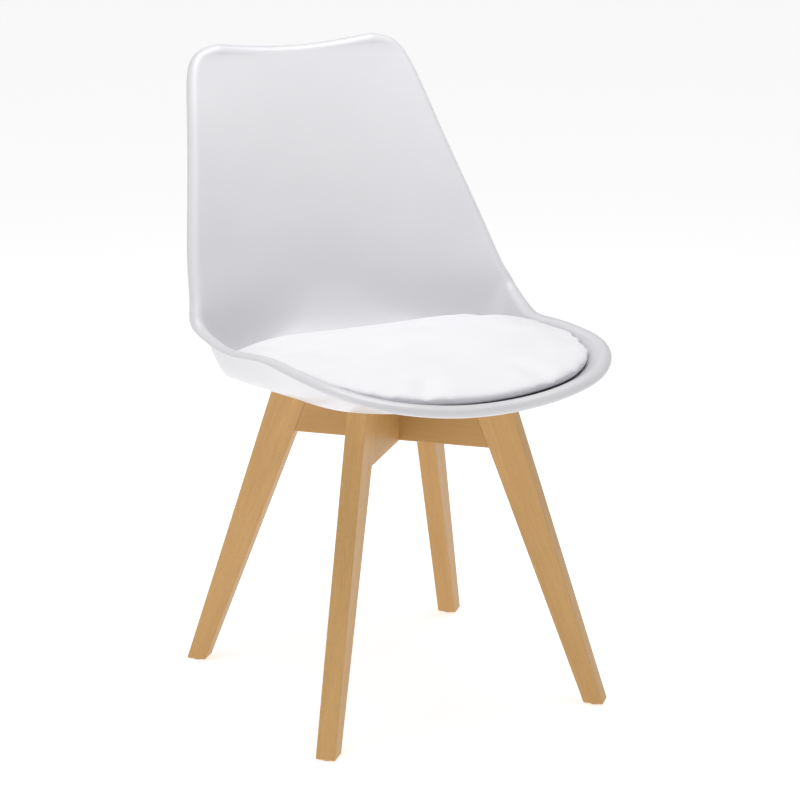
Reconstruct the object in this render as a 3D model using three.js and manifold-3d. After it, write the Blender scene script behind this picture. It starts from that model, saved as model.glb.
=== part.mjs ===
// Dining chair: a one-piece plastic bucket seat with an outward-rolled lip, a round-fronted seat cushion,
// and a beech base of four splayed legs glued to two crossed rails. Millimetres, +Z up, the sitter faces -Y.
import * as THREE from "three";
import { mergeVertices } from "three/addons/utils/BufferGeometryUtils.js";
import Module from "manifold-3d";

// ---------------------------------------------------------------- driving dimensions (mm)
const GAP = 0.3; // left between pieces that touch
const PAD_CLEAR = 1.2; // between the pan and the underside of the cushion

// Bucket seat: the upper surface runs along a spine that is flat, folds up in an arc and leans back.
const WALL = 4.5; // plastic wall
const FLOOR_Z = 427; // upper face of the seat floor
const PAN_Y = -60; // where the round front of the pan is centred
const FOLD_Y = 80; // where the floor starts to turn up into the back
const FOLD_R = 100; // radius of that turn
const RECLINE = 18; // lean of the back, degrees from upright
const PAN_FLAT = 0.9; // share of a seat section that is level, beside the sitter
const PAN_FLAT_FRONT = 0.5; // the same towards the front
const PAN_CURVE = 2; // how suddenly a section turns up towards its edge
const LIP_R = 10; // outer radius of the rolled lip
const LIP_TURN = 122; // how far the lip rolls over, degrees

// Edge of the pan round the front, from the middle to the widest place: [x, y, z].
const FRONT_EDGE = [
  [0, -264, 447],
  [60, -263, 450],
  [111, -256, 457],
  [148, -240, 464],
  [176, -210, 471],
  [192, -170, 476],
  [197, -118, 476],
];
// Edge along the sides and the back: [distance along the spine, half width, height above the spine, lift].
// The lift slides the edge up along the spine, which makes the top corners stand above the top's middle.
const SIDE_EDGE = [
  [-140, 197.5, 46.5, 0],
  [-85, 203.5, 40, 0],
  [-40, 212, 40.5, 0],
  [9, 219.5, 54, 0],
  [60, 219.5, 66, 0],
  [126, 214, 67.5, 0],
  [177, 205, 56.5, 0],
  [242, 190.5, 45.5, 0],
  [310, 175, 34, 0],
  [369, 163, 24.5, 0],
  [411, 154, 16, 0.5],
  [432, 145, 11.5, 2],
  [441, 132, 9.5, 3],
  [443, 114, 7.5, 2.5],
];

// Cushion: a round-fronted pad that fills the pan.
const CUSHION_Y = -72; // centre of the pad
const CUSHION_HALF_W = 195;
const CUSHION_WIDENING = 0.07; // how much wider the pad gets towards its rear
const CUSHION_FRONT = 182; // reach forwards from the centre
const CUSHION_REAR = 172; // reach backwards
const CUSHION_LOFT = 46; // height over the pan in the middle
const CUSHION_DISH = 6; // how much higher it is along its sides
const CUSHION_TUCK = 8; // how far its underside curls up at the edge
const COVER_T = 1.2; // imitation leather
const BOARD_SCALE = 0.55; // stiffening board against the pad's outline
const BOARD_Z = 430.6;
const BOARD_T = 4;
const CUSHION_SCREWS = [[60, -20], [-60, -20], [40, -115], [-40, -115]];

// Base: four legs in two vertical planes on the diagonals.
const TIMBER_T = 25.4; // thickness of legs and rails
const BASE_TOP = 413;
const FOOT_Z = 1.8;
const RAIL_Z = 334; // underside of the rails
const OUTER_FOOT = 287.4; // reach of a leg's outer edge at the floor, from the chair's axis
const OUTER_TOP = 152.6; // the same edge at the top
const INNER_FOOT = 261.4; // inner edge at the floor
const INNER_RAIL = 130.7; // inner edge where it meets the rail
const EDGE_R = 1.5; // softened edges
const DOWEL_R = 4, DOWEL_L = 40;
const DOWEL_HEIGHTS = [356, 391]; // where the dowels cross the glue line
const BOLT_RADIUS = 75; // of the four bolts from the chair's axis
const BOLT_L = 60;
const COUNTERBORE_Z = 364; // ceiling of the bolts' counterbores
const GLIDE_R = 9, GLIDE_T = 1.5;

// Hub under the seat: ribbed arms that lie on the rails.
const HUB_Z = BASE_TOP + GAP;
const HUB_REACH = 158;
const HUB_HALF_W = 21;
const HUB_WALL = 3;
const RIB_STEP = 26;
const BOSS_R = 9;
const INSERT_R = 4.6, INSERT_TOP = 421.2;

// ---------------------------------------------------------------- materials
const MATERIALS = {
  shell: new THREE.MeshStandardMaterial({ color: 0xf1f0f3, roughness: 0.42 }),
  cover: new THREE.MeshStandardMaterial({ color: 0xf4f2f4, roughness: 0.5 }),
  foam: new THREE.MeshStandardMaterial({ color: 0xe9e2c8, roughness: 1 }),
  board: new THREE.MeshStandardMaterial({ color: 0xc9a877, roughness: 0.85 }),
  beech: new THREE.MeshStandardMaterial({ color: 0xd3a468, roughness: 0.55 }),
  dowel: new THREE.MeshStandardMaterial({ color: 0xd9b988, roughness: 0.7 }),
  steel: new THREE.MeshStandardMaterial({ color: 0xb9bbbe, roughness: 0.35, metalness: 1 }),
  brass: new THREE.MeshStandardMaterial({ color: 0xc8a24a, roughness: 0.35, metalness: 1 }),
  nylon: new THREE.MeshStandardMaterial({ color: 0x8c8a86, roughness: 0.7 }),
};

// ---------------------------------------------------------------- solids
const wasm = await Module();
wasm.setup();
const chair = new THREE.Group();
chair.name = "dining_chair";

// A geometry as a solid that can be joined and cut.
function solid(geometry) {
  const bare = new THREE.BufferGeometry();
  bare.setAttribute("position", geometry.getAttribute("position"));
  if (geometry.index) bare.setIndex(geometry.index);
  const merged = mergeVertices(bare, 1e-4);
  const mesh = { numProp: 3, vertProperties: merged.attributes.position.array, triVerts: merged.index.array };
  mesh.triVerts = withoutSlivers(mesh.triVerts);
  return new wasm.Manifold(new wasm.Mesh(mesh));
}

function withoutSlivers(index) {
  const kept = [];
  for (let i = 0; i < index.length; i += 3) {
    const [a, b, c] = index.slice(i, i + 3);
    if (a !== b && b !== c && c !== a) kept.push(a, b, c);
  }
  return new Uint32Array(kept);
}

function add(name, body, material) {
  const mesh = body.getMesh();
  const geometry = new THREE.BufferGeometry();
  geometry.setAttribute("position", new THREE.BufferAttribute(mesh.vertProperties, mesh.numProp));
  geometry.setIndex(new THREE.BufferAttribute(mesh.triVerts, 1));
  const flat = geometry.toNonIndexed();
  flat.computeVertexNormals();
  const piece = new THREE.Mesh(flat, MATERIALS[material]);
  piece.name = name;
  chair.add(piece);
}

// An upright cylinder between two heights.
function post(x, y, radius, z0, z1, sides = 20) {
  const geometry = new THREE.CylinderGeometry(radius, radius, z1 - z0, sides);
  geometry.rotateX(Math.PI / 2).translate(x, y, (z0 + z1) / 2);
  return solid(geometry);
}

function block(x0, x1, y0, y1, z0, z1) {
  const geometry = new THREE.BoxGeometry(x1 - x0, y1 - y0, z1 - z0);
  return solid(geometry.translate((x0 + x1) / 2, (y0 + y1) / 2, (z0 + z1) / 2));
}

const joined = (bodies) => wasm.Manifold.union(bodies);
const turned = (body, degrees) => body.rotate([0, 0, degrees]);
const radians = THREE.MathUtils.degToRad;

// A surface through rows of points as triangles; `flip` turns the faces round.
function sheet(rows, flip, triangles) {
  for (let i = 0; i + 1 < rows.length; i++)
    for (let j = 0; j + 1 < rows[i].length; j++) {
      const [a, b, c, d] = [rows[i][j], rows[i + 1][j], rows[i + 1][j + 1], rows[i][j + 1]];
      if (flip) triangles.push(a, c, b, a, d, c);
      else triangles.push(a, b, c, a, c, d);
    }
}

function solidOfTriangles(triangles) {
  return solid(new THREE.BufferGeometry().setFromPoints(triangles));
}

// ---------------------------------------------------------------- the pan's surface
// The spine at a distance s from the fold: a point, and the direction that points up out of the seat.
function spine(s) {
  const lean = radians(90 - RECLINE);
  const turn = Math.min(Math.max(s / FOLD_R, 0), lean);
  const beyond = Math.max(s - FOLD_R * lean, 0);
  const ahead = Math.min(s, 0);
  return {
    y: FOLD_Y + ahead + FOLD_R * Math.sin(turn) + beyond * Math.cos(turn),
    z: FLOOR_Z + FOLD_R * (1 - Math.cos(turn)) + beyond * Math.sin(turn),
    turn,
  };
}

// Stations round the edge: where each section starts on the middle line and where it ends on the edge.
const STATIONS = [
  ...FRONT_EDGE.map((edge) => [PAN_Y, FLOOR_Z, ...edge]),
  ...SIDE_EDGE.map(([s, x, rise, lift]) => {
    const { y, z, turn } = spine(s);
    const [up, back] = [Math.cos(turn), Math.sin(turn)];
    return [y, z, x, y - rise * back + lift * up, z + rise * up + lift * back];
  }),
];
const FRONT_END = FRONT_EDGE.length; // the first station with a section straight across
const LAST = STATIONS.length - 1;

// Beyond the first station lies its neighbour's mirror image; beyond the last the edge runs straight on.
function neighbour(list, i) {
  if (i < 0) return list[1].map((value, k) => (k === 2 ? -value : value));
  if (i > LAST) return list[LAST].map((value, k) => 2 * value - list[LAST - 1][k]);
  return list[i];
}

// Control points of a cubic B-spline, pushed out until the curve runs close by the stations.
let controls = STATIONS;
for (let pass = 0; pass < 3; pass++)
  controls = controls.map((control, i) => control.map((value, k) => {
    const reached = (neighbour(controls, i - 1)[k] + 4 * value + neighbour(controls, i + 1)[k]) / 6;
    return value + STATIONS[i][k] - reached;
  }));

function station(t) {
  const i = Math.min(Math.floor(t), LAST - 1);
  const f = t - i;
  const weights = [(1 - f) ** 3, 4 - 6 * f ** 2 + 3 * f ** 3, 1 + 3 * f + 3 * f ** 2 - 3 * f ** 3, f ** 3];
  return STATIONS[0].map((_, k) =>
    weights.reduce((sum, weight, n) => sum + (weight * neighbour(controls, i - 1 + n)[k]) / 6, 0));
}

// How much of its height a section has gained at v, from 0 in the middle to 1 at the edge. The seat is
// flat in the middle and turns up near the edge; the back is an even curve from side to side.
function dish(t, v) {
  const { lerp, smoothstep } = THREE.MathUtils;
  const seat = lerp(PAN_FLAT_FRONT, PAN_FLAT, smoothstep(t, 1, FRONT_END + 2));
  const flat = seat * (1 - smoothstep(t, FRONT_END + 2.5, FRONT_END + 5.5));
  return Math.max((v - flat) / (1 - flat), 0) ** PAN_CURVE;
}

function pan(t, v) {
  const [spineY, cz, x, y, z] = station(t);
  const cy = Math.max(spineY, PAN_Y);
  const gained = dish(t, v);
  const out = t <= FRONT_END ? v : gained;
  return new THREE.Vector3(v * x, cy + out * (y - cy), cz + gained * (z - cz));
}

// The direction out of the upper surface.
function panNormal(t, v) {
  const d = 0.02;
  const w = Math.max(v, 0.02);
  const [t0, t1] = [Math.max(t - d, 0), Math.min(t + d, LAST)];
  const along = pan(t1, w).sub(pan(t0, w));
  const across = pan(t, Math.min(w + d, 1)).sub(pan(t, w - d));
  const normal = across.cross(along).normalize();
  if (v === 0 || t === 0) normal.setX(0).normalize();
  if (v === 0 && t <= FRONT_END) normal.set(0, 0, 1);
  return normal;
}

// ---------------------------------------------------------------- seat shell
const mirrorX = (p) => new THREE.Vector3(-p.x, p.y, p.z);
const ROWS = 38, COLUMNS = 11;
const rowT = Array.from({ length: ROWS + 1 }, (_, i) => (LAST * i) / ROWS);
const columnV = Array.from({ length: COLUMNS + 1 }, (_, j) => 1 - (1 - j / COLUMNS) ** 1.5);

// The surface at a depth below the upper face, as rows of points over the right-hand half.
function panRows(depth, from = rowT, across = columnV) {
  return from.map((t) => across.map((v) => pan(t, v).addScaledVector(panNormal(t, v), -depth)));
}

// The edge of the right-hand half, from the front's middle to the top's middle, with its lip's section.
function lipRows() {
  const stops = [...rowT.map((t) => [t, 1]), ...columnV.slice(0, -1).reverse().map((v) => [LAST, v])];
  const edge = stops.map(([t, v]) => pan(t, v));
  const turn = radians(LIP_TURN);
  const steps = 4;
  return stops.map(([t, v], i) => {
    const before = i ? edge[i - 1] : mirrorX(edge[1]);
    const after = i + 1 < edge.length ? edge[i + 1] : mirrorX(edge[i - 1]);
    const up = panNormal(t, v);
    const out = after.clone().sub(before).cross(up).normalize();
    if (i === 0 || i === stops.length - 1) out.setX(0).normalize();
    const at = (radius, angle) => edge[i].clone()
      .addScaledVector(up, radius * Math.cos(angle) - LIP_R)
      .addScaledVector(out, radius * Math.sin(angle));
    const top = Array.from({ length: steps + 1 }, (_, k) => at(LIP_R, (turn * k) / steps));
    const under = Array.from({ length: steps + 1 }, (_, k) => at(LIP_R - WALL, (turn * (steps - k)) / steps));
    return [...top, ...under];
  });
}

function mirroredBothSides(rows, flip, triangles) {
  sheet(rows, flip, triangles);
  sheet(rows.map((row) => row.map(mirrorX)), !flip, triangles);
}

function bareShell() {
  const triangles = [];
  mirroredBothSides(panRows(0), true, triangles);
  mirroredBothSides(panRows(WALL), false, triangles);
  mirroredBothSides(lipRows(), true, triangles);
  return solidOfTriangles(triangles);
}

// Everything below the middle of the seat's wall, out to near the edge, down to a level under the hub.
function underSeat() {
  const from = rowT.filter((t) => t <= FRONT_END + 4);
  const across = columnV.filter((v) => v < 0.93);
  const top = panRows(WALL / 2, from, across);
  const sunk = (p) => new THREE.Vector3(p.x, p.y, BASE_TOP - 40);
  const bottom = top.map((row) => row.map(sunk));
  const side = [...top.map((row) => row.at(-1)), ...top.at(-1).slice(0, -1).reverse()];
  const triangles = [];
  mirroredBothSides(top, true, triangles);
  mirroredBothSides(bottom, false, triangles);
  mirroredBothSides([side, side.map(sunk)], false, triangles);
  return solidOfTriangles(triangles);
}

// One bar of the hub's cross: round-ended, hollow from below, with ribs across it.
function roundEnded(halfWidth, reach, z0, z1) {
  const straight = reach - halfWidth;
  return joined([
    block(-straight, straight, -halfWidth, halfWidth, z0, z1),
    post(straight, 0, halfWidth, z0, z1, 16),
    post(-straight, 0, halfWidth, z0, z1, 16),
  ]);
}

const boltPlaces = [45, 135, 225, 315].map((degrees) => [
  BOLT_RADIUS * Math.cos(radians(degrees)), BOLT_RADIUS * Math.sin(radians(degrees)),
]);

function hub() {
  const top = FLOOR_Z + 60;
  const bars = (halfWidth, reach, z0) => joined([45, 135].map((degrees) =>
    turned(roundEnded(halfWidth, reach, z0, top), degrees)));
  const walls = bars(HUB_HALF_W, HUB_REACH, HUB_Z)
    .subtract(bars(HUB_HALF_W - HUB_WALL, HUB_REACH - HUB_WALL, HUB_Z - 1));
  const ribs = [];
  for (const degrees of [45, 135])
    for (let u = -5.5 * RIB_STEP; u < 6 * RIB_STEP; u += RIB_STEP)
      ribs.push(turned(block(u - 1.2, u + 1.2, -HUB_HALF_W + 1, HUB_HALF_W - 1, HUB_Z, top), degrees));
  const bosses = boltPlaces.map(([x, y]) => post(x, y, BOSS_R, HUB_Z, top, 14));
  return joined([walls, ...ribs, ...bosses]).intersect(underSeat());
}

const shellHoles = joined([
  ...boltPlaces.map(([x, y]) => post(x, y, INSERT_R + GAP, HUB_Z - 1, INSERT_TOP + GAP, 16)),
  ...CUSHION_SCREWS.map(([x, y]) => post(x, y, 2.4, FLOOR_Z - WALL - 1, FLOOR_Z + 1, 12)),
]);
add("seat_shell", bareShell().add(hub()).subtract(shellHoles), "shell");

// ---------------------------------------------------------------- cushion
// The height of the pan's upper face over a place in plan, met by a ray from above.
const panFaces = [];
sheet(panRows(0), true, panFaces);
const panMesh = new THREE.Mesh(
  new THREE.BufferGeometry().setFromPoints(panFaces),
  new THREE.MeshBasicMaterial({ side: THREE.DoubleSide }),
);
const DOWN = new THREE.Vector3(0, 0, -1);
function panHeight(x, y) {
  const from = new THREE.Vector3(Math.abs(x) + 0.01, y, FLOOR_Z + 60);
  return new THREE.Raycaster(from, DOWN).intersectObject(panMesh)[0].point.z;
}

// The pad's outline, squarer behind than in front, at a share of its size.
function outline(angle, scale) {
  const [c, s] = [Math.cos(angle), Math.sin(angle)];
  const power = s > 0 ? 8 : 3.3;
  const reach = s > 0 ? CUSHION_REAR : CUSHION_FRONT;
  const size = scale / (Math.abs(c) ** power + Math.abs(s) ** power) ** (1 / power);
  const wide = 1 + CUSHION_WIDENING * Math.max(size * s, 0);
  return [CUSHION_HALF_W * wide * size * c, CUSHION_Y + reach * size * s];
}

// Under and upper faces of the pad, or of a smaller pad that lies `inset` inside it.
const within = (angle, rho, inset) => outline(angle, rho * (1 - (1.6 * inset) / CUSHION_HALF_W));
function padUnder(rho, angle, inset) {
  const [x, y] = within(angle, rho, inset);
  const tuck = CUSHION_TUCK * (1 - Math.sqrt(1 - Math.max((rho - 0.88) / 0.12, 0) ** 2));
  return new THREE.Vector3(x, y, panHeight(x, y) + PAD_CLEAR + inset + tuck);
}
function padUpper(rho, angle, inset) {
  const [x, y] = within(angle, rho, inset);
  const edge = padUnder(1, angle, inset).z;
  const side = (x / CUSHION_HALF_W) ** 4 * (1 - Math.max(Math.sin(angle), 0) ** 2);
  const crown = FLOOR_Z + CUSHION_LOFT + CUSHION_DISH * side - inset;
  const fullness = 5 + 11 * Math.cos(angle) ** 2; // the sides stay high, the front rolls off softly
  const gained = (1 - rho ** fullness) ** 0.5 * (1 - 0.03 * rho ** 2);
  return new THREE.Vector3(x, y, edge + (crown - edge) * gained);
}

const TURNS = 44;
const angles = Array.from({ length: TURNS + 1 }, (_, i) => (2 * Math.PI * (i % TURNS)) / TURNS);
const shares = (from, to, count) =>
  Array.from({ length: count + 1 }, (_, k) => THREE.MathUtils.lerp(from, to, k / count));
const EDGE_SHARES = [0.9, 0.95, 0.98, 1];

// A body of revolution-like rows: one closed profile per angle.
function padBody(profile) {
  const triangles = [];
  sheet(angles.map(profile), false, triangles);
  const body = solidOfTriangles(triangles);
  return body.volume() < 0 ? solidOfTriangles(triangles.reverse()) : body;
}

const coverInset = COVER_T + 2.2; // the foam's surface, below the cover's
const coverProfile = (angle) => [
  ...shares(0.47, 0.85, 5).map((rho) => padUnder(rho, angle, 0)),
  ...EDGE_SHARES.map((rho) => padUnder(rho, angle, 0)),
  ...EDGE_SHARES.slice(0, -1).reverse().map((rho) => padUpper(rho, angle, 0)),
  ...shares(0.8, 0, 6).map((rho) => padUpper(rho, angle, 0)),
  ...shares(0, 0.8, 6).map((rho) => padUpper(rho, angle, COVER_T)),
  ...EDGE_SHARES.slice(0, -1).map((rho) => padUpper(rho, angle, COVER_T)),
  ...EDGE_SHARES.slice().reverse().map((rho) => padUnder(rho, angle, COVER_T)),
  ...shares(0.85, 0.47, 5).map((rho) => padUnder(rho, angle, COVER_T)),
  padUnder(0.47, angle, 0),
];
const boardTop = BOARD_Z + BOARD_T + GAP;
const overBoard = (rho, angle) => {
  const [x, y] = outline(angle, rho);
  return new THREE.Vector3(x, y, boardTop);
};
const foamProfile = (angle) => [
  ...shares(0, 0.57, 2).map((rho) => overBoard(rho, angle)),
  ...shares(0.58, 0.85, 4).map((rho) => padUnder(rho, angle, coverInset)),
  ...EDGE_SHARES.map((rho) => padUnder(rho, angle, coverInset)),
  ...EDGE_SHARES.slice(0, -1).reverse().map((rho) => padUpper(rho, angle, coverInset)),
  ...shares(0.8, 0, 5).map((rho) => padUpper(rho, angle, coverInset)),
];
const boardProfile = (angle) => [
  new THREE.Vector3(0, CUSHION_Y, BOARD_Z),
  ...[BOARD_Z, BOARD_Z + BOARD_T].map((z) => new THREE.Vector3(...outline(angle, BOARD_SCALE), z)),
  new THREE.Vector3(0, CUSHION_Y, BOARD_Z + BOARD_T),
];
add("cushion_cover", padBody(coverProfile), "cover");
add("cushion_foam", padBody(foamProfile), "foam");
const boardHoles = joined(CUSHION_SCREWS.map(([x, y]) =>
  post(x, y, 2.1, BOARD_Z - 1, BOARD_Z + BOARD_T + 1, 12)));
add("cushion_board", padBody(boardProfile).subtract(boardHoles), "board");

// ---------------------------------------------------------------- screws that hold the cushion
CUSHION_SCREWS.forEach(([x, y], i) => {
  const underside = FLOOR_Z - WALL - GAP;
  const head = new THREE.CylinderGeometry(5, 3.4, 2.6, 20).rotateX(-Math.PI / 2);
  const slot = block(-2.4, 2.4, -0.5, 0.5, underside - 4, underside - 1.4);
  const cross = [slot, turned(slot, 90)];
  const screw = solid(head).translate([x, y, underside - 1.3])
    .subtract(joined(cross).translate([x, y, 0]))
    .add(post(x, y, 1.8, underside - 0.5, BOARD_Z + BOARD_T - 0.5, 12));
  add(`cushion_screw_${i + 1}`, screw, "steel");
});

// ---------------------------------------------------------------- base timber
// The glue line between leg and rail carries on the leg's inner edge up to the top.
const glueSlope = (INNER_FOOT - INNER_RAIL) / RAIL_Z;
const glueAt = (z) => INNER_RAIL - glueSlope * (z - RAIL_Z);
const outerSlope = (OUTER_FOOT - OUTER_TOP) / BASE_TOP;

// Legs and rail of one diagonal as a single board with softened edges, lying in its own plane.
function diagonalBoard() {
  const c = 1.5; // corner of a foot
  const half = [
    [0, BASE_TOP],
    [OUTER_TOP - 1, BASE_TOP],
    [OUTER_TOP + outerSlope * 3, BASE_TOP - 3],
    [OUTER_FOOT - outerSlope * (FOOT_Z + c), FOOT_Z + c],
    [OUTER_FOOT - outerSlope * FOOT_Z - c, FOOT_Z],
    [INNER_FOOT - glueSlope * FOOT_Z + c, FOOT_Z],
    [INNER_FOOT - glueSlope * (FOOT_Z + c), FOOT_Z + c],
    [INNER_RAIL, RAIL_Z],
  ];
  const left = half.slice(1).reverse().map(([u, z]) => [-u, z]);
  const shape = new THREE.Shape([...half, ...left].map(([u, z]) => new THREE.Vector2(u, z)));
  const board = new THREE.ExtrudeGeometry(shape, {
    depth: TIMBER_T - 2 * EDGE_R, bevelEnabled: true, bevelThickness: EDGE_R,
    bevelSize: EDGE_R, bevelOffset: -EDGE_R, bevelSegments: 2,
  });
  return solid(board.translate(0, 0, EDGE_R - TIMBER_T / 2).rotateX(Math.PI / 2));
}

// Everything outward of a glue line, moved along it by an offset.
function outwardOfGlue(offset) {
  const reach = 400;
  const [low, high] = [-20, BASE_TOP + 20];
  const shape = new THREE.Shape([
    [glueAt(low) + offset, low], [reach, low], [reach, high], [glueAt(high) + offset, high],
  ].map(([u, z]) => new THREE.Vector2(u, z)));
  const slab = new THREE.ExtrudeGeometry(shape, { depth: 60, bevelEnabled: false });
  return solid(slab.translate(0, 0, -30).rotateX(Math.PI / 2));
}

// Dowels cross the glue line square to it.
const dowelTilt = Math.atan(glueSlope);
function dowel(z, radius, length) {
  const rod = new THREE.CylinderGeometry(radius, radius, length, 16);
  return solid(rod.rotateZ(-Math.PI / 2).rotateY(-dowelTilt).translate(glueAt(z), 0, z));
}
const dowelHoles = joined(DOWEL_HEIGHTS.map((z) => dowel(z, DOWEL_R + GAP, DOWEL_L + 2)));

const board = diagonalBoard();
const outward = outwardOfGlue(GAP / 2);
const leg = board.intersect(outward).subtract(dowelHoles);
const bothEnds = (body) => joined([body, turned(body, 180)]);
const boltHoles = bothEnds(joined([
  post(BOLT_RADIUS, 0, 3.4, RAIL_Z - 10, BASE_TOP + 10, 16),
  post(BOLT_RADIUS, 0, 8, RAIL_Z - 10, COUNTERBORE_Z, 24),
]));
const rail = board.subtract(bothEnds(outwardOfGlue(-GAP / 2)))
  .subtract(bothEnds(dowelHoles))
  .subtract(boltHoles);

// The rails cross in a half lap: one is notched from above, the other from below.
const lapHalf = TIMBER_T / 2 + GAP;
const lapZ = (RAIL_Z + BASE_TOP) / 2;
const notch = (z0, z1) => block(-lapHalf, lapHalf, -20, 20, z0, z1);
add("rail_lower", turned(rail.subtract(notch(lapZ, BASE_TOP + 10)), 135), "beech");
add("rail_upper", turned(rail.subtract(notch(RAIL_Z - 10, lapZ + GAP)), 45), "beech");

// ---------------------------------------------------------------- what each corner holds
// Bolt with a hexagon socket, its two washers, the brass insert in the hub and a floor glide.
const headTop = COUNTERBORE_Z - 4;
function ring(outer, inner, z0, z1) {
  return post(BOLT_RADIUS, 0, outer, z0, z1, 24).subtract(post(BOLT_RADIUS, 0, inner, z0 - 1, z1 + 1, 16));
}
const bolt = post(BOLT_RADIUS, 0, 5, headTop - 5, headTop, 24)
  .subtract(post(BOLT_RADIUS, 0, 2.8, headTop - 6, headTop - 2.4, 6))
  .add(post(BOLT_RADIUS, 0, 3, headTop - 1, headTop + BOLT_L, 16));
const flatWasher = ring(6.6, 3.3, COUNTERBORE_Z - GAP - 1.6, COUNTERBORE_Z - GAP);
const springWasher = ring(5.2, 3.3, headTop + GAP, headTop + GAP + 1.4)
  .subtract(block(BOLT_RADIUS + 2, BOLT_RADIUS + 7, -0.5, 0.5, headTop - 5, headTop + 5));
const insert = ring(INSERT_R, 3.3, HUB_Z + GAP, INSERT_TOP);
const footU = (OUTER_FOOT + INNER_FOOT) / 2 - 0.5;
const glide = post(footU, 0, GLIDE_R, 0, GLIDE_T, 24);

const CORNERS = { front_right: -45, front_left: -135, rear_left: 135, rear_right: 45 };
for (const [corner, degrees] of Object.entries(CORNERS)) {
  add(`leg_${corner}`, turned(leg, degrees), "beech");
  DOWEL_HEIGHTS.forEach((z, i) =>
    add(`dowel_${corner}_${i + 1}`, turned(dowel(z, DOWEL_R, DOWEL_L), degrees), "dowel"));
  add(`frame_bolt_${corner}`, turned(bolt, degrees), "steel");
  add(`flat_washer_${corner}`, turned(flatWasher, degrees), "steel");
  add(`spring_washer_${corner}`, turned(springWasher, degrees), "steel");
  add(`threaded_insert_${corner}`, turned(insert, degrees), "brass");
  add(`floor_glide_${corner}`, turned(glide, degrees), "nylon");
}

// The chair stands with the middle of its box over the origin.
const box = new THREE.Box3().setFromObject(chair);
chair.position.y = -(box.min.y + box.max.y) / 2;

export default chair;
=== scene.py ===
"""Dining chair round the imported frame: metres, +Z up, the sitter faces -Y.

The bucket seat is rebuilt finely on the same formulas as the model's, and the pad on much the same ones;
the timber and the metal parts are the model's own nodes with their materials.
"""
import math

import bmesh
import bpy
import numpy as np
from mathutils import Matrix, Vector
from mathutils.bvhtree import BVHTree


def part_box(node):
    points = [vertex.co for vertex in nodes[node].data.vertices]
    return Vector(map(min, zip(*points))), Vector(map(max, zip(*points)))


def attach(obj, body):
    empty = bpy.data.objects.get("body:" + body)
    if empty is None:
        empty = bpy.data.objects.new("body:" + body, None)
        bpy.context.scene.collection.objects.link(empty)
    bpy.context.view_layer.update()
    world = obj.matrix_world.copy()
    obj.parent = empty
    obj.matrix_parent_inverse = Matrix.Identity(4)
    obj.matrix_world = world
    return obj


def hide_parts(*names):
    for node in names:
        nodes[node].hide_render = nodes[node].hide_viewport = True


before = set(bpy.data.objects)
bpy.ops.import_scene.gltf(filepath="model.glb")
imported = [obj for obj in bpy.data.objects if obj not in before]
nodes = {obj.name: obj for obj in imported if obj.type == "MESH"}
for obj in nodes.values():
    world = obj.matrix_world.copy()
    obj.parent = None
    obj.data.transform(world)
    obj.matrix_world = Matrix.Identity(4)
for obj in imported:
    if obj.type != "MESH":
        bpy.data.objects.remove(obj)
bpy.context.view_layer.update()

scene = bpy.context.scene
MM = 0.001

# The base is symmetric about the chair's axis, which gives the axis's place in Y.
AXIS_Y = (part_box("leg_front_left")[0].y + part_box("leg_rear_left")[1].y) / 2

# ---------------------------------------------------------------- seat shell, millimetres from the axis
WALL = 4.5
FLOOR_Z = 427.0
PAN_Y = -60.0
FOLD_Y = 80.0
FOLD_R = 100.0
RECLINE = 18.0
PAN_FLAT, PAN_FLAT_FRONT, PAN_CURVE = 0.9, 0.5, 2.0
LIP_R, LIP_TURN = 10.0, 122.0
FRONT_EDGE = [
    [0, -264, 447], [60, -263, 450], [111, -256, 457], [148, -240, 464], [176, -210, 471],
    [192, -170, 476], [197, -118, 476],
]
SIDE_EDGE = [
    [-140, 197.5, 46.5, 0], [-85, 203.5, 40, 0], [-40, 212, 40.5, 0], [9, 219.5, 54, 0],
    [60, 219.5, 66, 0], [126, 214, 67.5, 0], [177, 205, 56.5, 0], [242, 190.5, 45.5, 0],
    [310, 175, 34, 0], [369, 163, 24.5, 0], [411, 154, 16, 0.5], [432, 145, 11.5, 2],
    [441, 132, 9.5, 3], [443, 114, 7.5, 2.5],
]
HUB_Z, HUB_REACH, HUB_HALF_W, HUB_WALL = 413.3, 158.0, 21.0, 3.0
HUB_SOFT = 0.6
HUB_BURIED = 0.6 * WALL
RIB_STEP, RIB_HALF_T, RIBS_EACH_WAY = 26.0, 1.2, 6
BOLT_RADIUS, BOSS_R, SOCKET_R = 75.0, 9.0, 4.9
SOCKET_TOP = FLOOR_Z - 5
RAY_TOP = FLOOR_Z + 60

# ---------------------------------------------------------------- cushion, millimetres
CUSHION_Y, CUSHION_HALF_W, CUSHION_WIDENING = -72.0, 195.0, 0.07
CUSHION_FRONT, CUSHION_REAR, CUSHION_LOFT = 182.0, 172.0, 46.0
# How far the sides stand above the middle, and where that sets in from the rear to the front.
CUSHION_DISH, DISH_START, DISH_FULL = 6.5, -20, 80
CUSHION_TUCK, TUCK_START, PAD_CLEAR = 5.5, 0.88, 0.8
# The outline is widened by as much as smoothing takes back. It is squarer behind than in front.
CUSHION_GROWN = 1.015
REAR_POWER, FRONT_POWER = 8, 2.8
# The edge stays at least this far below the crown.
EDGE_DROP = 9

# ---------------------------------------------------------------- cushion cloth, metres
VOXEL = 0.005
CLOTH_PRESSURE, CLOTH_CAP, CLOTH_FRAMES = 4.0, 0.0045, 20
HELD_BELOW = 0.006
STEP_INWARDS, RISE_CAP = 0.0005, 0.003
FORTH, BACK = 0.5, -0.52


def ease(x, low, high):
    """0 up to low, 1 from high, smooth between them."""
    f = np.clip((x - low) / (high - low), 0, 1)
    return f * f * (3 - 2 * f)


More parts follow.
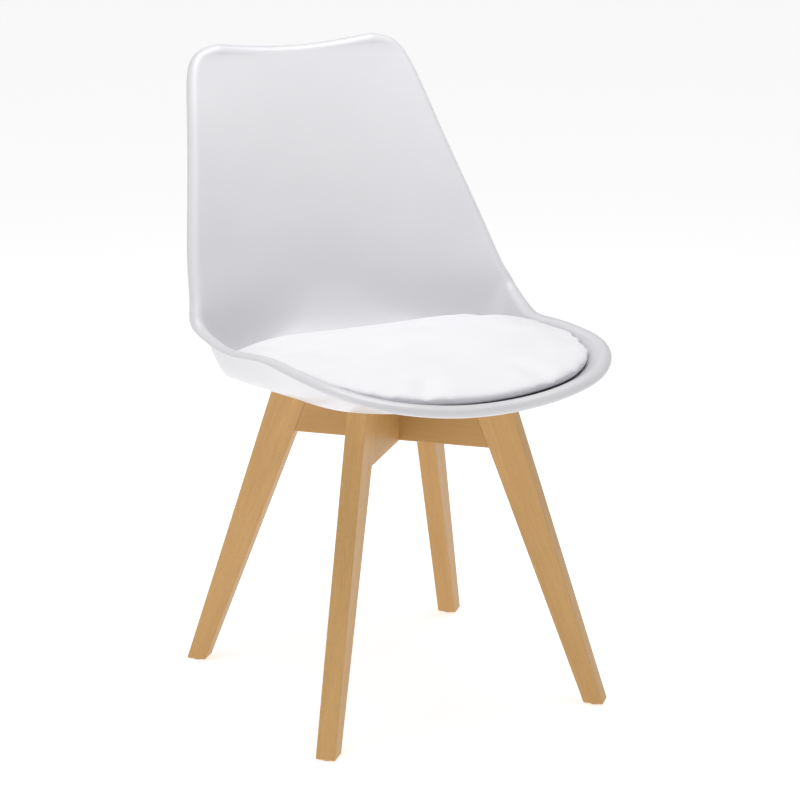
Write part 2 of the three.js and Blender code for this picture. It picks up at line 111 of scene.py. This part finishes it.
def spine(s):
    """A point of the middle line at a distance s from the fold, and how far it has turned up."""
    lean = math.radians(90 - RECLINE)
    turn = min(max(s / FOLD_R, 0), lean)
    beyond = max(s - FOLD_R * lean, 0)
    y = FOLD_Y + min(s, 0) + FOLD_R * math.sin(turn) + beyond * math.cos(turn)
    z = FLOOR_Z + FOLD_R * (1 - math.cos(turn)) + beyond * math.sin(turn)
    return y, z, turn


def side_station(s, x, rise, lift):
    """A control point beside the middle line: x sideways, rise square to the line, lift along it."""
    y, z, turn = spine(s)
    up, back = math.cos(turn), math.sin(turn)
    return [y, z, x, y - rise * back + lift * up, z + rise * up + lift * back]


STATIONS = np.array(
    [[PAN_Y, FLOOR_Z, *edge] for edge in FRONT_EDGE] + [side_station(*row) for row in SIDE_EDGE], float)
FRONT_END = len(FRONT_EDGE)
LAST = len(STATIONS) - 1


def with_neighbours(rows):
    """The rows with the front's mirror image before them and a straight run after them."""
    before = rows[1] * [1, 1, -1, 1, 1]
    return np.vstack([before, rows, 2 * rows[-1] - rows[-2]])


CONTROLS = STATIONS
for _ in range(3):
    padded = with_neighbours(CONTROLS)
    CONTROLS = CONTROLS + STATIONS - (padded[:-2] + 4 * padded[1:-1] + padded[2:]) / 6
CONTROLS = with_neighbours(CONTROLS)


def station(t):
    """The cubic B-spline through the stations."""
    i = np.minimum(np.floor(t).astype(int), LAST - 1)
    f = t - i
    weights = [(1 - f) ** 3, 4 - 6 * f**2 + 3 * f**3, 1 + 3 * f + 3 * f**2 - 3 * f**3, f**3]
    return sum(w[..., None] * CONTROLS[i + n] / 6 for n, w in enumerate(weights))


def dish(t, v):
    """How much of the edge's height the surface has gained at v."""
    seat = PAN_FLAT_FRONT + (PAN_FLAT - PAN_FLAT_FRONT) * ease(t, 1, FRONT_END + 2)
    flat = seat * (1 - ease(t, FRONT_END + 2.5, FRONT_END + 5.5))
    return np.maximum((v - flat) / (1 - flat), 0) ** PAN_CURVE


def pan(t, v):
    """The seat's upper surface: t runs round the edge, v from the middle out to the edge."""
    t, v = np.broadcast_arrays(np.asarray(t, float), np.asarray(v, float))
    cy, cz, x, y, z = np.moveaxis(station(t), -1, 0)
    cy = np.maximum(cy, PAN_Y)
    gained = dish(t, v)
    out = np.where(t <= FRONT_END, v, gained)
    return np.stack([v * x, cy + out * (y - cy), cz + gained * (z - cz)], -1)


def unit(a):
    return a / np.maximum(np.linalg.norm(a, axis=-1, keepdims=True), 1e-9)


def pan_normal(t, v):
    t, v = np.broadcast_arrays(np.asarray(t, float), np.asarray(v, float))
    d = 0.02
    w = np.maximum(v, 0.02)
    along = pan(np.minimum(t + d, LAST), w) - pan(np.maximum(t - d, 0), w)
    across = pan(t, np.minimum(w + d, 1)) - pan(t, w - d)
    normal = unit(np.cross(across, along))
    normal[(v == 0) | (t == 0), 0] = 0
    normal[(v == 0) & (t <= FRONT_END)] = [0, 0, 1]
    return unit(normal)


def placed(points):
    """Millimetres from the axis to metres in the frame."""
    return np.asarray(points, float) * MM + [0, AXIS_Y, 0]


def new_object(name, bm, smooth=True):
    mesh = bpy.data.meshes.new(name)
    bm.to_mesh(mesh)
    bm.free()
    obj = bpy.data.objects.new(name, mesh)
    scene.collection.objects.link(obj)
    if smooth:
        mesh.polygons.foreach_set("use_smooth", [True] * len(mesh.polygons))
    return obj


def add_grid(bm, points, closed_across=False):
    """Quads over rows of points; returns the rows of vertices."""
    rows = [[bm.verts.new(p) for p in row] for row in points]
    join_rows(bm, rows, closed_across)
    return rows


def join_rows(bm, rows, closed_across=False):
    for a, b in zip(rows, rows[1:]):
        count = len(a) if closed_across else len(a) - 1
        for j in range(count):
            k = (j + 1) % len(a)
            bm.faces.new((a[j], b[j], b[k], a[k]))


def smoothed_loop(vectors):
    for _ in range(LOOP_PASSES):
        vectors = (np.roll(vectors, 1, 0) + 2 * vectors + np.roll(vectors, -1, 0)) / 4
    return unit(vectors)


# ---------------------------------------------------------------- seat shell
ROWS, COLUMNS = 190, 44
LOOP_PASSES = 14


def shell_surface():
    """The upper surface's points and normals, row by row from the left edge to the right."""
    t = np.linspace(0, LAST, ROWS + 1)[:, None]
    v = 1 - (1 - np.linspace(0, 1, COLUMNS + 1)) ** 1.5
    side = np.concatenate([-v[:0:-1], v])[None, :]
    top = pan(t, abs(side))
    normal = pan_normal(t, abs(side))
    flip = np.where(side < 0, -1, 1)[..., None] * [1, 0, 0] + np.array([0, 1, 1])
    return top * flip, normal * flip


def lip_profile():
    """(distance along the outward direction, height over the edge) round the rolled lip, top to underside."""
    turn = math.radians(LIP_TURN)
    middle, half = LIP_R - WALL / 2, WALL / 2
    outer_steps, inner_steps, tip_steps = 14, 8, 6

    def arc(radius, angles):
        return [(radius * math.sin(a), radius * math.cos(a) - LIP_R) for a in angles]

    outer = arc(LIP_R, [turn * k / outer_steps for k in range(1, outer_steps + 1)])
    inner = arc(LIP_R - WALL, [turn * k / inner_steps for k in range(inner_steps, 0, -1)])
    centre = (middle * math.sin(turn), middle * math.cos(turn) - LIP_R)
    tip = []
    for k in range(1, tip_steps):
        a = math.pi * k / tip_steps
        radial, along = half * math.cos(a), half * math.sin(a)
        tip.append((
            centre[0] + radial * math.sin(turn) + along * math.cos(turn),
            centre[1] + radial * math.cos(turn) - along * math.sin(turn),
        ))
    return outer + tip + inner


def cross_outline(half, reach, arc_steps=10):
    """Outline of two crossed round-ended bars on the diagonals."""
    points = []
    for arm in range(4):
        turn = math.radians(45 + 90 * arm)
        local = [(half, -half)]
        for k in range(arc_steps + 1):
            a = math.pi * (k / arc_steps - 0.5)
            local.append((reach - half + half * math.cos(a), half * math.sin(a)))
        for u, w in local:
            points.append((u * math.cos(turn) - w * math.sin(turn), u * math.sin(turn) + w * math.cos(turn)))
    return points


def make_shell():
    top, normal = shell_surface()
    under = top - WALL * normal
    bm = bmesh.new()
    top_rows = add_grid(bm, placed(top))
    under_rows = add_grid(bm, placed(under))

    def round_edge(rows):
        up_side = [row[-1] for row in rows]
        over_top = list(rows[-1])[-2::-1]
        down_side = [row[0] for row in rows][-2:0:-1]
        return up_side + over_top + down_side

    edge = np.array(round_edge(top))
    up = smoothed_loop(np.array(round_edge(normal)))
    tangent = smoothed_loop(np.roll(edge, -1, 0) - np.roll(edge, 1, 0))
    out = unit(np.cross(tangent, up))
    ring = [
        [bm.verts.new(p) for p in placed(edge + out * x + up * z)] for x, z in lip_profile()]
    lip = [round_edge(top_rows), *ring, round_edge(under_rows)]
    join_rows(bm, lip, closed_across=True)
    bmesh.ops.remove_doubles(bm, verts=bm.verts, dist=2e-6)
    bmesh.ops.dissolve_degenerate(bm, edges=bm.edges, dist=1e-7)
    bmesh.ops.recalc_face_normals(bm, faces=bm.faces)
    return bm, top


def surface_tree(points):
    """A tree for meeting the pan's upper surface by rays, in metres."""
    flat = placed(points).reshape(-1, 3)
    rows, columns = points.shape[:2]
    quads = [(i * columns + j, (i + 1) * columns + j, (i + 1) * columns + j + 1, i * columns + j + 1)
             for i in range(rows - 1) for j in range(columns - 1)]
    return BVHTree.FromPolygons([tuple(p) for p in flat], quads)


def make_hub(bm, tree):
    """Ribbed cross under the seat, its walls run up into the seat's own wall."""
    def roof(x, y):
        hit = tree.ray_cast(Vector((x, y, RAY_TOP * MM)), Vector((0, 0, -1)))[0]
        height = hit.z if hit else (FLOOR_Z + 30) * MM
        return height - HUB_BURIED * MM

    def wall(levels, outlines):
        rows = []
        for z, outline in zip(levels, outlines):
            row = []
            for x, y, _ in placed([(x, y, 0) for x, y in outline]):
                row.append(bm.verts.new((x, y, roof(x, y) if z is None else z * MM)))
            rows.append(row)
        join_rows(bm, rows, closed_across=True)

    def circle(middle_x, middle_y, radius):
        return [(middle_x + radius * math.cos(a), middle_y + radius * math.sin(a))
                for a in np.linspace(0, 2 * math.pi, 33)[:-1]]

    wall([None, HUB_Z + HUB_SOFT, HUB_Z, HUB_Z, HUB_Z + HUB_SOFT, None],
         [cross_outline(HUB_HALF_W - inset, HUB_REACH - inset)
          for inset in (0, 0, HUB_SOFT, HUB_WALL - HUB_SOFT, HUB_WALL, HUB_WALL)])
    for degrees in (45, 135):
        turn = math.radians(degrees)
        for n in range(-RIBS_EACH_WAY, RIBS_EACH_WAY):
            u = (n + 0.5) * RIB_STEP
            w = HUB_HALF_W - HUB_WALL + 0.5
            near, far = u - RIB_HALF_T, u + RIB_HALF_T
            corners = [(near, -w), (far, -w), (far, w), (near, w)]
            outline = [(a * math.cos(turn) - b * math.sin(turn), a * math.sin(turn) + b * math.cos(turn))
                       for a, b in corners]
            wall([None, HUB_Z + HUB_SOFT], [outline, outline])
            bm.faces.new([bm.verts.new(p) for p in placed([(x, y, HUB_Z + HUB_SOFT) for x, y in outline])])
    for degrees in (45, 135, 225, 315):
        cx, cy = (BOLT_RADIUS * f(math.radians(degrees)) for f in (math.cos, math.sin))
        radii = (BOSS_R, BOSS_R, BOSS_R - HUB_SOFT, SOCKET_R, SOCKET_R)
        wall([None, HUB_Z + HUB_SOFT, HUB_Z, HUB_Z, SOCKET_TOP], [circle(cx, cy, r) for r in radii])


shell_bm, PAN_POINTS = make_shell()
PAN_TREE = surface_tree(PAN_POINTS)
hub_bm = bmesh.new()
make_hub(hub_bm, PAN_TREE)
bmesh.ops.remove_doubles(hub_bm, verts=hub_bm.verts, dist=1e-6)
bmesh.ops.recalc_face_normals(hub_bm, faces=hub_bm.faces)
hub_obj = new_object("bucket_seat_hub", hub_bm, smooth=False)
shell_obj = new_object("bucket_seat", shell_bm)


# ---------------------------------------------------------------- cushion
def pan_height(x, y):
    """Height of the pan's upper face in millimetres at a place in millimetres from the axis."""
    hit = PAN_TREE.ray_cast(Vector((x * MM, y * MM + AXIS_Y, RAY_TOP * MM)), Vector((0, 0, -1)))[0]
    return hit.z / MM if hit else FLOOR_Z + 40


def cushion_outline(angle, scale):
    """A place on the pad's plan, a superellipse that widens towards the rear."""
    c, s = math.cos(angle), math.sin(angle)
    power = REAR_POWER if s > 0 else FRONT_POWER
    reach = CUSHION_REAR if s > 0 else CUSHION_FRONT
    size = CUSHION_GROWN * scale / (abs(c) ** power + abs(s) ** power) ** (1 / power)
    wide = 1 + CUSHION_WIDENING * max(size * s, 0)
    return CUSHION_HALF_W * wide * size * c, CUSHION_Y + reach * size * s


def cushion_point(angle, rho, upper):
    """A point of the pad's skin: rho runs from the middle out to the edge."""
    x, y = cushion_outline(angle, rho)
    tuck = CUSHION_TUCK * (1 - math.sqrt(1 - max((rho - TUCK_START) / (1 - TUCK_START), 0) ** 2))
    under = pan_height(x, y) + PAD_CLEAR + tuck
    if not upper:
        return x, y, under
    ex, ey = cushion_outline(angle, 1)
    side = (x / CUSHION_HALF_W) ** 4 * float(ease(-y, DISH_START, DISH_FULL))
    crown = FLOOR_Z + CUSHION_LOFT + CUSHION_DISH * side
    edge = min(pan_height(ex, ey) + PAD_CLEAR + CUSHION_TUCK, crown - EDGE_DROP)
    if math.sin(angle) > 0:
        fullness = 5 + 11 * math.cos(angle) ** 8
    else:
        fullness = 2.7 + 13.3 * math.cos(angle) ** 2
    return x, y, edge + (crown - edge) * (1 - rho**fullness) ** 0.5 * (1 - 0.03 * rho**2)


def make_cushion():
    lower = [0.02, 0.2, 0.4, 0.6, 0.75, 0.85, 0.9, 0.94, 0.97, 0.99, 1.0]
    higher = [0.997, 0.99, 0.975, 0.95, 0.91, 0.85, 0.75, 0.6, 0.45, 0.3, 0.15, 0.02]
    angles = np.linspace(0, 2 * math.pi, 145)[:-1]
    rings = [[cushion_point(a, r, False) for a in angles] for r in lower]
    rings += [[cushion_point(a, r, True) for a in angles] for r in higher]
    bm = bmesh.new()
    rows = add_grid(bm, [placed(ring) for ring in rings], closed_across=True)
    bm.faces.new(rows[0])
    bm.faces.new(rows[-1])
    bmesh.ops.recalc_face_normals(bm, faces=bm.faces)
    return new_object("seat_cushion", bm)


def apply_modifiers(obj):
    graph = bpy.context.evaluated_depsgraph_get()
    mesh = bpy.data.meshes.new_from_object(obj.evaluated_get(graph))
    obj.modifiers.clear()
    obj.data = mesh
    mesh.polygons.foreach_set("use_smooth", [True] * len(mesh.polygons))


def coordinates(mesh):
    co = np.empty(len(mesh.vertices) * 3)
    mesh.vertices.foreach_get("co", co)
    return co.reshape(-1, 3)


def inflate(obj):
    """Cloth under pressure; the underside is held, and no point moves further than the cap."""
    before = coordinates(obj.data)
    held = obj.vertex_groups.new(name="held")
    for vertex in obj.data.vertices:
        height = vertex.co.z - pan_height(vertex.co.x / MM, (vertex.co.y - AXIS_Y) / MM) * MM
        if height < HELD_BELOW and vertex.normal.z < 0.2:
            held.add([vertex.index], 1.0, "REPLACE")
    cloth = obj.modifiers.new("cloth", "CLOTH")
    settings = cloth.settings
    settings.quality = 5
    settings.mass = 0.3
    settings.tension_stiffness = settings.compression_stiffness = 15
    settings.bending_stiffness = 8.0
    settings.use_pressure = True
    settings.uniform_pressure_force = CLOTH_PRESSURE
    settings.effector_weights.gravity = 0
    settings.vertex_group_mass = "held"
    cloth.collision_settings.use_self_collision = False
    for step in range(1, CLOTH_FRAMES + 1):
        scene.frame_set(step)
    graph = bpy.context.evaluated_depsgraph_get()
    after = coordinates(obj.evaluated_get(graph).to_mesh())
    scene.frame_set(1)
    obj.modifiers.clear()
    obj.vertex_groups.clear()
    moved = after - before
    length = np.maximum(np.linalg.norm(moved, axis=1, keepdims=True), 1e-9)
    result = before + moved * np.minimum(1, CLOTH_CAP / length)
    obj.data.vertices.foreach_set("co", result.ravel())
    obj.data.update()


def keep_above_pan(obj, clearance, steps):
    """Points inside the pan's wall step back towards the pad's middle; those still too low rise a little."""
    co = coordinates(obj.data)
    middle = np.array([0, AXIS_Y + CUSHION_Y * MM])
    for point in co:
        inwards = middle - point[:2]
        inwards *= STEP_INWARDS / max(np.linalg.norm(inwards), 1e-6)
        for step in range(steps + 1):
            floor = pan_height(point[0] / MM, (point[1] - AXIS_Y) / MM) * MM + clearance
            if point[2] >= floor or step == steps:
                break
            point[:2] += inwards
        point[2] += min(max(floor - point[2], 0), RISE_CAP)
    obj.data.vertices.foreach_set("co", co.ravel())
    obj.data.update()


def relax(obj, rounds):
    """Smooths with next to no shrinking: each step towards the neighbours is followed by one back."""
    co = coordinates(obj.data)
    edges = np.empty(len(obj.data.edges) * 2, dtype=np.int64)
    obj.data.edges.foreach_get("vertices", edges)
    starts, ends = edges.reshape(-1, 2).T
    links = np.bincount(edges, minlength=len(co))[:, None]
    for _ in range(rounds):
        for factor in (FORTH, BACK):
            total = np.zeros_like(co)
            np.add.at(total, starts, co[ends])
            np.add.at(total, ends, co[starts])
            co += factor * (total / links - co)
    obj.data.vertices.foreach_set("co", co.ravel())
    obj.data.update()


cushion = make_cushion()
remesh = cushion.modifiers.new("remesh", "REMESH")
remesh.mode = "VOXEL"
remesh.voxel_size = VOXEL
apply_modifiers(cushion)
relax(cushion, 12)
inflate(cushion)
relax(cushion, 30)
keep_above_pan(cushion, 0.0016, 14)
relax(cushion, 24)
keep_above_pan(cushion, 0.0012, 6)
relax(cushion, 14)
rounder = cushion.modifiers.new("rounder", "SUBSURF")
rounder.levels = rounder.render_levels = 1
apply_modifiers(cushion)


# ---------------------------------------------------------------- materials
class Finish:
    """A material built from nodes one at a time."""

    def __init__(self, name):
        self.material = bpy.data.materials.new(name)
        self.material.use_nodes = True
        self.nodes = self.material.node_tree.nodes
        self.shader = self.nodes["Principled BSDF"]
        self.place = self.add("ShaderNodeTexCoord").outputs["Object"]

    def add(self, kind, inputs=None, **settings):
        node = self.nodes.new(kind)
        for key, value in settings.items():
            setattr(node, key, value)
        for key, value in (inputs or {}).items():
            self.put(node.inputs[key], value)
        return node

    def put(self, socket, value):
        if isinstance(value, bpy.types.NodeSocket):
            self.material.node_tree.links.new(value, socket)
        else:
            socket.default_value = value

    def set(self, **values):
        for key, value in values.items():
            self.put(self.shader.inputs[key.replace("_", " ")], value)

    def scaled(self, vector, scale, rotation=(0, 0, 0)):
        inputs = {"Vector": vector, "Scale": scale, "Rotation": rotation}
        return self.add("ShaderNodeMapping", inputs).outputs[0]

    def noise(self, vector, scale, detail=2.0, roughness=0.5, distortion=0.0):
        return self.add("ShaderNodeTexNoise", {
            "Vector": vector, "Scale": scale, "Detail": detail, "Roughness": roughness,
            "Distortion": distortion}).outputs["Fac"]

    def ranged(self, value, low, high, to_low=0.0, to_high=1.0):
        inputs = {"Value": value, "From Min": low, "From Max": high, "To Min": to_low, "To Max": to_high}
        return self.add("ShaderNodeMapRange", inputs).outputs[0]

    def blend(self, factor, a, b):
        node = self.add("ShaderNodeMix", data_type="RGBA")
        self.put(node.inputs[0], factor)
        self.put(node.inputs[6], a)
        self.put(node.inputs[7], b)
        return node.outputs[2]

    def bump(self, height, distance, strength, under=None):
        inputs = {"Height": height, "Distance": distance, "Strength": strength}
        if under:
            inputs["Normal"] = under
        return self.add("ShaderNodeBump", inputs).outputs[0]


SHELL_DARK, SHELL_LIGHT = (0.685, 0.68, 0.702, 1), (0.71, 0.705, 0.725, 1)
COVER_DARK, COVER_LIGHT = (0.89, 0.885, 0.905, 1), (0.92, 0.915, 0.93, 1)
# Painted shade: one grey for the leather's crease lines, one for where the pad turns down at its edge.
CREASE_PAINTED_SHADE, EDGE_PAINTED_SHADE = (0.55, 0.55, 0.58, 1), (0.60, 0.60, 0.64, 1)
STEEL, BRASS = (0.62, 0.63, 0.65, 1), (0.75, 0.52, 0.2, 1)
NYLON_DARK, NYLON_LIGHT = (0.22, 0.215, 0.21, 1), (0.28, 0.275, 0.27, 1)
PLY_LIGHT, PLY_DARK, PLY_FIBRE = (0.55, 0.37, 0.19, 1), (0.40, 0.25, 0.12, 1), (0.30, 0.18, 0.08, 1)
LEG_LIGHT, LEG_DARK = (0.63, 0.37, 0.125, 1), (0.54, 0.30, 0.09, 1)
RAIL_LIGHT, RAIL_DARK = (0.57, 0.325, 0.10, 1), (0.49, 0.265, 0.07, 1)
DOWEL_LIGHT, DOWEL_DARK = (0.68, 0.49, 0.27, 1), (0.60, 0.41, 0.20, 1)
FLECK = (0.36, 0.19, 0.07, 1)


def plastic():
    f = Finish("shell_plastic")
    broad = f.noise(f.place, 7.0, 2.0)
    fine = f.noise(f.place, 900.0, 2.0)
    tone = f.blend(f.ranged(broad, 0.3, 0.7), SHELL_DARK, SHELL_LIGHT)
    f.set(Base_Color=tone, Roughness=f.ranged(fine, 0.3, 0.7, 0.34, 0.42), IOR=1.5,
          Coat_Weight=0.3, Coat_Roughness=0.18,
          Normal=f.bump(fine, 0.00004, 0.5, f.bump(broad, 0.0006, 0.15)))
    return f.material


def leather():
    """Fine-creased imitation leather, with painted shade along its creases and painted shade greying it where
    it turns down towards the edge.
    """
    f = Finish("cover_leather")
    cells = f.add("ShaderNodeTexVoronoi", {"Vector": f.place, "Scale": 620.0}, feature="DISTANCE_TO_EDGE")
    creases = f.ranged(cells.outputs["Distance"], 0.0, 0.16)
    broad = f.noise(f.place, 14.0, 3.0)
    fine = f.noise(f.place, 1500.0, 2.0)
    tone = f.blend(f.ranged(broad, 0.3, 0.7), COVER_DARK, COVER_LIGHT)
    # Painted shade: the crease lines are darkened a little, standing in for the shade that falls in them.
    tone = f.blend(f.ranged(creases, 0.0, 1.0, 0.06, 0.0), tone, CREASE_PAINTED_SHADE)
    lean = f.add("ShaderNodeSeparateXYZ", {0: f.add("ShaderNodeNewGeometry").outputs["Normal"]}).outputs["Z"]
    # Painted shade: the colour greys as the surface turns from facing up towards upright near the pad's edge.
    tone = f.blend(f.ranged(lean, 0.98, 0.35, 0.0, 0.7), tone, EDGE_PAINTED_SHADE)
    normal = f.bump(creases, 0.00007, 0.6, f.bump(broad, 0.0012, 0.25))
    f.set(Base_Color=tone, Roughness=f.ranged(fine, 0.3, 0.7, 0.4, 0.52), IOR=1.47,
          Sheen_Weight=0.06, Sheen_Roughness=0.5, Normal=f.bump(fine, 0.00002, 0.5, normal))
    return f.material


def wood(name, grain, seed, light, dark, fleck):
    """Timber whose fibres run along the direction grain."""
    f = Finish(name)
    align = Vector(grain).normalized().rotation_difference(Vector((1, 0, 0))).to_euler()
    along = f.scaled(f.place, (1, 1, 1), align)
    along = f.add("ShaderNodeVectorMath", {0: along, 1: (seed * 0.37, seed * 0.61, seed * 0.23)},
                  operation="ADD").outputs[0]
    bands = f.noise(f.scaled(along, (2.2, 34, 34)), 1.0, 3.0, 0.55, 0.8)
    fibres = f.noise(f.scaled(along, (22, 620, 620)), 1.0, 3.0, 0.6)
    dashes = f.noise(f.scaled(along, (190, 1150, 1150)), 1.0, 1.0)
    broad = f.noise(f.scaled(along, (3, 9, 9)), 1.0, 2.0)
    tone = f.blend(f.ranged(bands, 0.32, 0.68), light, dark)
    tone = f.blend(f.ranged(broad, 0.35, 0.65, 0.0, 0.35), tone, dark)
    tone = f.blend(f.ranged(fibres, 0.3, 0.75, 0.0, 0.28), tone, fleck)
    tone = f.blend(f.ranged(dashes, 0.62, 0.72, 0.0, 0.4), tone, fleck)
    normal = f.bump(fibres, 0.00005, 0.6)
    f.set(Base_Color=tone, Roughness=f.ranged(fibres, 0.3, 0.7, 0.42, 0.56), IOR=1.5,
          Coat_Weight=0.15, Coat_Roughness=0.3, Normal=f.bump(dashes, 0.00003, 0.5, normal))
    return f.material


def metal(name, colour, roughness):
    f = Finish(name)
    streaks = f.noise(f.scaled(f.place, (300, 300, 2400)), 1.0, 3.0)
    grime = f.noise(f.place, 160.0, 3.0)
    tone = f.blend(f.ranged(grime, 0.45, 0.75, 0.0, 0.3), colour, [c * 0.6 for c in colour[:3]] + [1])
    f.set(Base_Color=tone, Metallic=1.0, Roughness=f.ranged(streaks, 0.3, 0.7, roughness, roughness + 0.15),
          Normal=f.bump(streaks, 0.00002, 0.4))
    return f.material


def nylon():
    f = Finish("glide_nylon")
    fine = f.noise(f.place, 900.0, 3.0)
    tone = f.blend(f.ranged(fine, 0.3, 0.7), NYLON_DARK, NYLON_LIGHT)
    f.set(Base_Color=tone, Roughness=f.ranged(fine, 0.3, 0.7, 0.55, 0.75), Normal=f.bump(fine, 0.00005, 0.5))
    return f.material


def plywood():
    f = Finish("board_wood")
    layers = f.add("ShaderNodeTexWave", {"Vector": f.place, "Scale": 260.0, "Distortion": 0.6},
                   bands_direction="Z").outputs["Fac"]
    fibres = f.noise(f.scaled(f.place, (500, 20, 500)), 1.0, 3.0)
    tone = f.blend(layers, PLY_LIGHT, PLY_DARK)
    tone = f.blend(f.ranged(fibres, 0.3, 0.7, 0.0, 0.4), tone, PLY_FIBRE)
    f.set(Base_Color=tone, Roughness=0.8, Normal=f.bump(fibres, 0.0001, 0.5))
    return f.material


def dress(obj, material):
    obj.data.materials.clear()
    obj.data.materials.append(material)


# A leg's fibres run outwards and down.
LEG_RUN, LEG_DROP = 0.363, 0.932

CORNERS = {"front_right": -45, "front_left": -135, "rear_left": 135, "rear_right": 45}
steel = metal("steel", STEEL, 0.28)
brass = metal("brass", BRASS, 0.3)
glide = nylon()
for number, (corner, degrees) in enumerate(CORNERS.items()):
    turn = math.radians(degrees)
    outwards = Vector((math.cos(turn), math.sin(turn), 0))
    leg_grain = outwards * LEG_RUN + Vector((0, 0, -LEG_DROP))
    leg_wood = wood(f"beech_{corner}", leg_grain, number + 1, LEG_LIGHT, LEG_DARK, FLECK)
    dress(nodes[f"leg_{corner}"], leg_wood)
    dowel_wood = wood(f"dowel_wood_{corner}", outwards, number + 7, DOWEL_LIGHT, DOWEL_DARK, FLECK)
    for end in (1, 2):
        dress(nodes[f"dowel_{corner}_{end}"], dowel_wood)
    for kind in ("frame_bolt", "flat_washer", "spring_washer"):
        dress(nodes[f"{kind}_{corner}"], steel)
    dress(nodes[f"threaded_insert_{corner}"], brass)
    dress(nodes[f"floor_glide_{corner}"], glide)
for number, (rail, degrees) in enumerate({"rail_lower": 135, "rail_upper": 45}.items()):
    grain = (math.cos(math.radians(degrees)), math.sin(math.radians(degrees)), 0)
    dress(nodes[rail], wood(f"beech_{rail}", grain, number + 5, RAIL_LIGHT, RAIL_DARK, FLECK))
for n in range(1, 5):
    dress(nodes[f"cushion_screw_{n}"], steel)
dress(nodes["cushion_board"], plywood())

shell_material = plastic()
for part in (shell_obj, hub_obj):
    dress(part, shell_material)
    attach(part, "root")
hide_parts("seat_shell")
dress(cushion, leather())
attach(cushion, "root")
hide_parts("cushion_cover", "cushion_foam")

# ---------------------------------------------------------------- room, light, camera
def make_floor():
    bm = bmesh.new()
    bmesh.ops.create_grid(bm, x_segments=4, y_segments=4, size=14)
    floor = new_object("floor", bm)
    floor.location.z = -0.0004
    f = Finish("floor_paint")
    tone = f.noise(f.place, 3.0, 2.0)
    f.set(Base_Color=f.blend(tone, (0.90, 0.90, 0.90, 1), (0.91, 0.91, 0.91, 1)), Roughness=0.9,
          Specular_IOR_Level=0.1, Emission_Color=(1, 1, 1, 1), Emission_Strength=0.60)
    floor.data.materials.append(f.material)


def area_light(name, place, target, size, power):
    light = bpy.data.lights.new(name, "AREA")
    light.shape = "RECTANGLE"
    light.size, light.size_y = size
    light.energy = power
    obj = bpy.data.objects.new(name, light)
    obj.location = place
    obj.rotation_euler = (Vector(target) - Vector(place)).to_track_quat("-Z", "Y").to_euler()
    scene.collection.objects.link(obj)


make_floor()
WORLD_COLOUR, WORLD_STRENGTH = (0.985, 0.985, 1.0, 1), 0.38
world = bpy.data.worlds.new("studio")
scene.world = world
world.use_nodes = True
background = world.node_tree.nodes["Background"]
background.inputs["Color"].default_value = WORLD_COLOUR
background.inputs["Strength"].default_value = WORLD_STRENGTH
area_light("overhead", (0.0, -0.12, 1.95), (0, -0.1, 0.45), (1.5, 1.0), 18)
area_light("low_front", (0.9, -2.6, 0.35), (0, -0.2, 0.4), (1.2, 0.5), 4)
area_light("left", (-2.7, -0.6, 0.8), (0, 0, 0.4), (1.6, 1.6), 12)
scene.view_settings.view_transform = "Standard"

AZIMUTH, ELEVATION = math.radians(-28.11), math.radians(15.73)
CAMERA_DISTANCE = 3.423
TARGET = Vector((0, AXIS_Y, 0.3846))
camera = bpy.data.cameras.new("camera")
camera.sensor_width = 36
camera.lens = 119.9
camera.shift_x, camera.shift_y = 0.00875, -0.001
camera.clip_end = 60
view = bpy.data.objects.new("camera", camera)
back = Vector((math.sin(AZIMUTH) * math.cos(ELEVATION), -math.cos(AZIMUTH) * math.cos(ELEVATION),
               math.sin(ELEVATION)))
view.location = TARGET + back * CAMERA_DISTANCE
view.rotation_euler = (-back).to_track_quat("-Z", "Y").to_euler()
scene.collection.objects.link(view)
scene.camera = view
